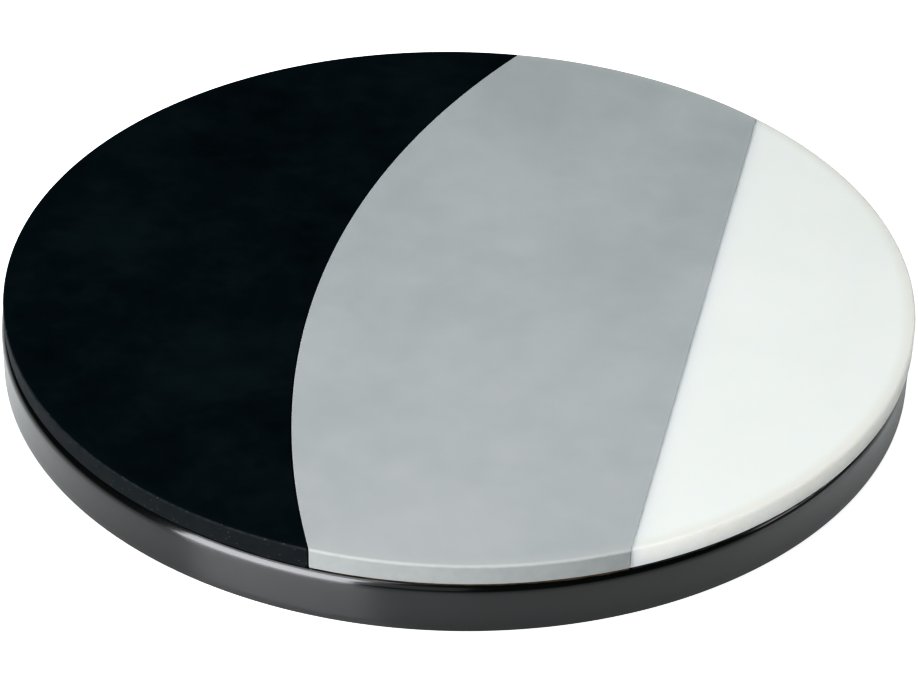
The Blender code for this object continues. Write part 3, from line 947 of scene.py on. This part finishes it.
def studio_floor():
    """A plain pale floor with a soft gloss. The camera sees it glow in an even pale tone, while the
    pad gets only a little of that light, and its underside more. From below the floor is clear."""
    mesh = bpy.data.meshes.new("studio_floor")
    half = FLOOR_HALF_SIZE
    corners = [(-half, -half, 0.0), (half, -half, 0.0), (half, half, 0.0), (-half, half, 0.0)]
    mesh.from_pydata(corners, [], [(0, 1, 2, 3)])
    floor = bpy.data.objects.new("studio_floor", mesh)
    floor.location.z = -FLOOR_GAP
    bpy.context.scene.collection.objects.link(floor)
    finish = {"Base Color": FLOOR_COLOUR, "Roughness": FLOOR_ROUGHNESS, "IOR": FLOOR_IOR}
    paint = Paint("studio_floor", finish)
    seen = paint.node("ShaderNodeLightPath").outputs["Is Camera Ray"]
    glow = paint.remap(seen, 0.0, 1.0, FLOOR_GLOW, FLOOR_GLOW_SEEN)
    paint.shader.inputs["Emission Color"].default_value = PLAIN_WHITE
    inner, outer = (share * RIM_RADIUS for share in FLOOR_GLOW_PATCH)
    hidden = paint.remap(paint.axis_distance(), outer, inner, 0.0, 1.0)
    under = paint.math("MULTIPLY", hidden, FLOOR_GLOW_UNDER)
    paint.set("Emission Strength", paint.math("ADD", glow, under))
    below = paint.node("ShaderNodeNewGeometry").outputs["Backfacing"]
    clear = paint.node("ShaderNodeBsdfTransparent").outputs[0]
    sides = {0: below, 1: paint.shader.outputs[0], 2: clear}
    mixed = paint.node("ShaderNodeMixShader", sides).outputs[0]
    paint.tree.links.new(mixed, paint.tree.nodes["Material Output"].inputs["Surface"])
    mesh.materials.append(paint.material)


def studio_world():
    """A pale backdrop behind everything that gives only a little light itself."""
    world = bpy.data.worlds.new("studio_world")
    world.use_nodes = True
    tree = world.node_tree
    light = tree.nodes["Background"]
    light.inputs["Color"].default_value = SKY_COLOUR
    light.inputs["Strength"].default_value = SKY_GLOW
    backdrop = tree.nodes.new("ShaderNodeBackground")
    backdrop.inputs["Strength"].default_value = 1.0
    rays = tree.nodes.new("ShaderNodeLightPath")
    mixed = tree.nodes.new("ShaderNodeMixShader")
    tree.links.new(rays.outputs["Is Camera Ray"], mixed.inputs[0])
    tree.links.new(light.outputs[0], mixed.inputs[1])
    tree.links.new(backdrop.outputs[0], mixed.inputs[2])
    tree.links.new(mixed.outputs[0], tree.nodes["World Output"].inputs["Surface"])
    bpy.context.scene.world = world


def studio_camera():
    data = bpy.data.cameras.new("studio_camera")
    data.sensor_width = SENSOR_WIDTH
    data.lens = CAMERA_LENS
    data.clip_start = 0.01
    data.clip_end = 50.0
    camera = bpy.data.objects.new("studio_camera", data)
    out = toward(0.0, math.degrees(CAMERA_ELEVATION))
    place = Vector((0.0, 0.0, BOARD_BOTTOM)) + out * CAMERA_DISTANCE
    turn = Matrix.Rotation(CAMERA_AZIMUTH - CAMERA_PAN, 4, "Z")
    tilt = Matrix.Rotation(QUARTER_TURN - CAMERA_PITCH, 4, "X")
    roll = Matrix.Rotation(CAMERA_ROLL, 4, "Z")
    camera.matrix_world = Matrix.Translation(place) @ turn @ tilt @ roll
    bpy.context.scene.collection.objects.link(camera)
    bpy.context.scene.camera = camera


def studio_print():
    """Plain colours with a gentle S-shaped contrast curve."""
    view = bpy.context.scene.view_settings
    view.view_transform = "Standard"
    view.use_curve_mapping = True
    curve = view.curve_mapping.curves[3]
    for tone, printed in CONTRAST_CURVE:
        curve.points.new(tone, printed)
    view.curve_mapping.update()


def studio():
    studio_floor()
    studio_world()
    for settings in SOFTBOXES:
        softbox(*settings)
    studio_camera()
    studio_print()


# ---------------------------------------------------------------- assembly


def build():
    lacquer = lacquer_material()
    amber = glue_material("amber_glue", ((0.060, 0.038, 0.018), (0.130, 0.092, 0.048)))
    # Painted shadow: near-black glue under the black and white pads, seen as the dark line of shade
    # under their rims.
    shadow_glue = glue_material("shadow_painted_glue", ((0.0015, 0.0018, 0.0020), (0.0040, 0.0044, 0.0046)))
    zinc = steel_material("zinc_steel", (0.62, 0.64, 0.66), (0.66, 0.65, 0.58), 0.30, 0.16 * MM)
    nickel = steel_material("nickel_steel", (0.66, 0.63, 0.58), (0.70, 0.68, 0.64), 0.24, 0.22 * MM)
    foot_rubber = foot_rubber_material()

    stand_for(base_board(lacquer), "base_board")
    layers = (
        ("black", black_outline, black_rubber_material(), shadow_glue),
        ("grey", grey_outline, grey_rubber_material(), amber),
        ("white", white_outline, white_rubber_material(), shadow_glue),
    )
    for colour, outline, rubber, glue in layers:
        stand_for(rubber_pad(colour + "_rubber_pad", outline, rubber), colour + "_pad")
        stand_for(glue_film(colour + "_glue", outline, glue), colour + "_glue_film")
    for number in range(1, FOOT_COUNT + 1):
        rubber_foot(f"rubber_foot_{number}", f"foot_{number}", foot_rubber)
        washer(f"steel_washer_{number}", f"foot_washer_{number}", zinc)
        pan_screw(f"pan_screw_{number}", f"foot_screw_{number}", zinc)
    screw_nodes = [f"insert_screw_{number}" for number in range(1, INSERT_SCREW_COUNT + 1)]
    stand_insert("threaded_insert", "stand_insert", screw_nodes, nickel)
    for number, node in enumerate(screw_nodes, start=1):
        flat_screw(f"flat_screw_{number}", node, zinc)


build()
studio()
